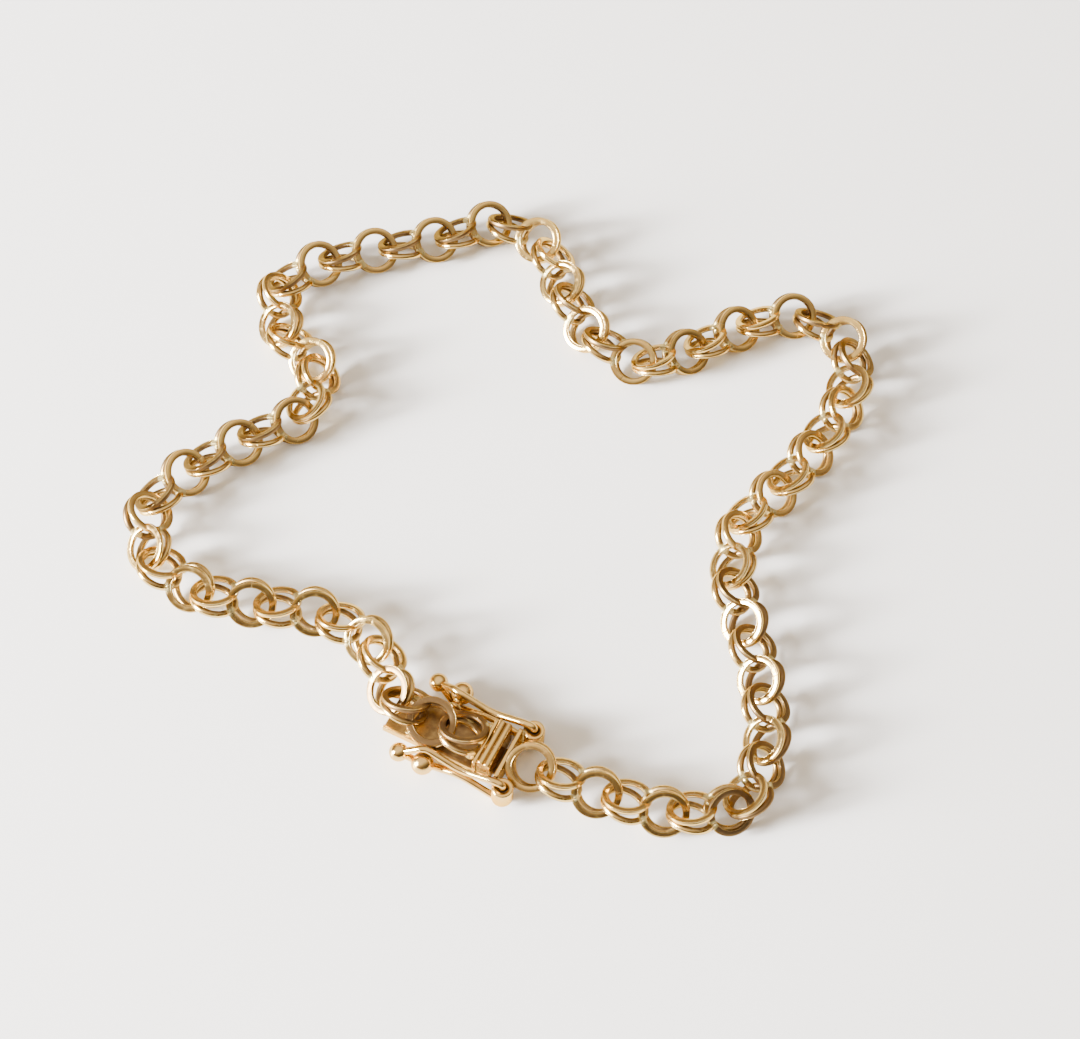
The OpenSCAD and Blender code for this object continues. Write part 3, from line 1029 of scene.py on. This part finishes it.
@dataclass(frozen=True)
class SafetyCatch:
    """A figure-eight catch of bent wire with a tip ball and two short hinge pins."""

    side: Side
    tongue: SpringTongue
    wire: float = 0.5
    strand_gap: float = 0.06
    pin_length: float = 0.5
    eye_at: float = 5.545
    eye_radius: float = 1.08
    waist: float = 0.95
    tip_ball: float = 1.28
    tip_flare: float = 0.55
    reach_share: float = 1.7

    @property
    def reach(self) -> float:
        """Distance from the eye's middle to the tip."""
        return self.eye_radius * self.reach_share

    @property
    def lean(self) -> Vector:
        """Direction of the flared tip from the eye's middle."""
        return unit(math.degrees(math.atan(self.tip_flare / self.reach)))

    def strand(self) -> list[Vector]:
        """Path of the upper strand, from its pin over the waist and the eye to the tip.

        Returns:
            Its points, drawn along +X from the hinge axis.
        """
        bend_r, tube_top = self.strand_gap + self.wire / 2, self.tongue.tube_height / 2
        top = tube_top + bend_r
        waist_at, half = self.eye_at * 0.57, self.waist / 2
        drop, run = top - half, waist_at - bend_r
        drop_r = 0.8 * (run ** 2 + drop ** 2) / (4 * drop)
        span = math.hypot(run, 2 * drop_r - drop)
        fall = math.degrees(math.asin(2 * drop_r / span) - math.atan2(2 * drop_r - drop, run))
        level = math.sqrt(span ** 2 - 4 * drop_r ** 2)
        rise = self.eye_at - waist_at
        rise_r = 0.5 * (rise ** 2 + half ** 2 - self.eye_radius ** 2) / (2 * self.eye_radius - self.waist)
        rise_span = math.hypot(rise, half + rise_r)
        both = rise_r + self.eye_radius
        climb = math.degrees(math.asin(both / rise_span) - math.atan2(half + rise_r, rise))
        slope = math.sqrt(rise_span ** 2 - both ** 2)
        wire = Bender(0, tube_top - self.pin_length, 90)
        wire.straight(self.pin_length)
        for radius, angle, ahead in (
            (bend_r, -90, 0), (drop_r, -fall, level), (drop_r, fall, 0),
            (rise_r, climb, slope), (self.eye_radius, -climb, 0),
        ):
            wire.arc(radius, angle)
            if ahead:
                wire.straight(ahead)
        eye = len(wire.path)
        wire.arc(self.eye_radius, -math.degrees(math.asin(self.eye_radius / self.reach)))
        wire.straight(math.sqrt(self.reach ** 2 - self.eye_radius ** 2))
        for point in wire.path[eye:]:
            beyond = point.x - self.eye_at
            point.x, point.y = self.eye_at + beyond * self.lean.x, beyond * self.lean.y
        return wire.path

    def dress(self, finishes: dict) -> None:
        """Builds the catch's piece."""
        shape = Shape()
        side, tongue = self.side.value, self.tongue
        place = shift(tongue.tube_x, side * tongue.tube_y, tongue.tube_z) @ Matrix.Diagonal((-1, side, 1, 1))
        for end in (1, -1):
            path = [place @ Vector((p.x, p.y, end * p.z)) for p in self.strand()]
            shape.sweep(path, lambda t: self.wire / 2 - 0.02 * (1 - smooth(0.03, 0.07, t)))
        tip = Vector((self.eye_at + self.reach * self.lean.x, self.reach * self.lean.y, 0))
        shape.lump(tip, (self.tip_ball / 2,) * 3, place, PLAIN, 0.01)
        name = self.side.name.lower()
        dress(shape, f"safety_catch_{name}", f"catch_{name}", f"{name}_catch", Slot.CATCH, finishes)


@dataclass(frozen=True)
class Lamp:
    """A soft rectangular lamp that faces the bracelet, with its power in watts."""

    name: str
    at: Triple
    size: tuple[float, float]
    power: float
    colour: Triple = (1.0, 0.985, 0.975)
    aim: Triple = (0.0, 20.0, 0.0)

    def hang(self) -> None:
        """Hangs the lamp."""
        light = bpy.data.lights.new(self.name, "AREA")
        light.shape, light.size, light.size_y = "RECTANGLE", self.size[0] * MM, self.size[1] * MM
        light.energy, light.color = self.power, self.colour
        lamp = bpy.data.objects.new(self.name, light)
        lamp.location = Vector(self.at) * MM
        lamp.rotation_euler = (Vector(self.aim) - Vector(self.at)).to_track_quat("-Z", "Y").to_euler()
        bpy.context.scene.collection.objects.link(lamp)


@dataclass(frozen=True)
class Studio:
    """Camera at the photograph's angle, pale glossy floor and soft light from the front left."""

    azimuth: float = 21.9
    elevation: float = 60.0
    roll: float = 4.97
    focal: float = 2655.1
    image_width: float = 1080.0
    place: Triple = (32.91, -67.58, 159.55)
    sensor: float = 36.0
    floor_half: float = 3.0
    window: Lamp = Lamp("window", (-430, -365, 200), (220, 320), 29.0)
    pane: Lamp = Lamp("bright_pane", (-421, -358, 196), (70, 110), 13.5)
    # The room's warm light from the floor up to straight overhead
    room: tuple = (
        (0.0, (0.85, 0.70, 0.53)), (0.2, (0.16, 0.11, 0.075)),
        (0.55, (0.47, 0.36, 0.26)), (0.86, (1.2, 1.02, 0.80)),
    )
    room_dark: Triple = (0.05, 0.042, 0.035)
    room_strength: float = 1.4

    def camera(self) -> None:
        """Sets the camera."""
        az, e, r = (math.radians(a) for a in (self.azimuth, self.elevation, self.roll))
        ahead = Vector((-math.sin(az) * math.cos(e), math.cos(az) * math.cos(e), -math.sin(e)))
        right = Vector((math.cos(az), math.sin(az), 0))
        down = ahead.cross(right)
        across = math.cos(r) * right - math.sin(r) * down
        below = math.sin(r) * right + math.cos(r) * down
        lens = bpy.data.cameras.new("camera")
        lens.lens, lens.sensor_width = self.sensor * self.focal / self.image_width, self.sensor
        lens.clip_start, lens.clip_end = 1 * MM, 10.0
        camera = bpy.data.objects.new("camera", lens)
        turned = Matrix((across, -below, -ahead)).transposed().to_4x4()
        camera.matrix_world = Matrix.Translation(Vector(self.place) * MM) @ turned
        bpy.context.scene.collection.objects.link(camera)
        bpy.context.scene.camera = camera

    def floor(self) -> None:
        """Lays the pale floor."""
        mesh, half = bpy.data.meshes.new("floor"), self.floor_half
        corners = [(-half, -half, 0), (half, -half, 0), (half, half, 0), (-half, half, 0)]
        mesh.from_pydata(corners, [], [(0, 1, 2, 3)])
        floor = bpy.data.objects.new("floor", mesh)
        bpy.context.scene.collection.objects.link(floor)
        material = bpy.data.materials.new("pale_floor")
        material.use_nodes = True
        graph = Graph(material.node_tree)
        where = graph.node("ShaderNodeTexCoord").outputs["Object"]
        cloud = graph.number("ShaderNodeTexNoise", {}, {"Vector": where, "Scale": 60.0, "Detail": 3.0})
        tone = graph.mix(cloud, (0.84, 0.84, 0.84), (0.87, 0.87, 0.87))
        inputs = {"Base Color": tone, "Roughness": 0.30 + 0.1 * cloud, "Specular IOR Level": 0.35}
        shader = graph.node("ShaderNodeBsdfPrincipled", {}, inputs)
        graph.node("ShaderNodeOutputMaterial", {}, {"Surface": shader.outputs[0]})
        mesh.materials.append(material)

    def light(self) -> None:
        """Hangs the lamps and draws the room that the gold reflects."""
        self.window.hang()
        self.pane.hang()
        world = bpy.data.worlds.new("room")
        bpy.context.scene.world = world
        world.use_nodes = True
        graph = Graph(world.node_tree)
        way = graph.node("ShaderNodeTexCoord").outputs["Generated"]
        parts = graph.node("ShaderNodeSeparateXYZ", {}, {"Vector": way})
        east, north, up = (Number(graph, socket) for socket in parts.outputs)
        sky = graph.node("ShaderNodeValToRGB", {"stops": self.room}, {"Fac": up}).outputs[0]
        dark = (east * 0.8 - north * 0.4 + up * 0.2).eased(0.35, 0.85)
        room = graph.mix(dark * 0.75, sky, self.room_dark)
        shader = graph.node("ShaderNodeBackground", {}, {"Color": room, "Strength": self.room_strength})
        graph.node("ShaderNodeOutputWorld", {}, {"Surface": shader.outputs[0]})


def main() -> None:
    """Builds the studio, the finishes, the chain and the clasp."""
    logging.basicConfig(level=logging.INFO, format="%(name)s: %(message)s")
    studio = Studio()
    studio.camera()
    studio.floor()
    studio.light()
    finishes = {
        finish.slot: finish.material()
        for finish in (
            GoldFinish(Slot.LINK, (0.81, 0.575, 0.205)),
            GoldFinish(Slot.CLASP, (0.81, 0.555, 0.20), roughness=0.17, scratch=0.5),
            GoldFinish(Slot.CATCH, (0.83, 0.575, 0.21), roughness=0.11),
        )
    }
    box, tongue = BoxClasp(), SpringTongue()
    Chain(tongue.ring_x, tongue.ring_z, box.first_ring).dress(finishes)
    box.dress(finishes)
    tongue.dress(finishes)
    for side in Side:
        SafetyCatch(side, tongue).dress(finishes)
    meshes = [piece for piece in bpy.data.objects if piece.type == "MESH"]
    # Paints the shade of crevices into the colour of every piece
    CreviceShade().darken([piece for piece in meshes if "wear" in piece.data.attributes])


if __name__ == "__main__":
    main()
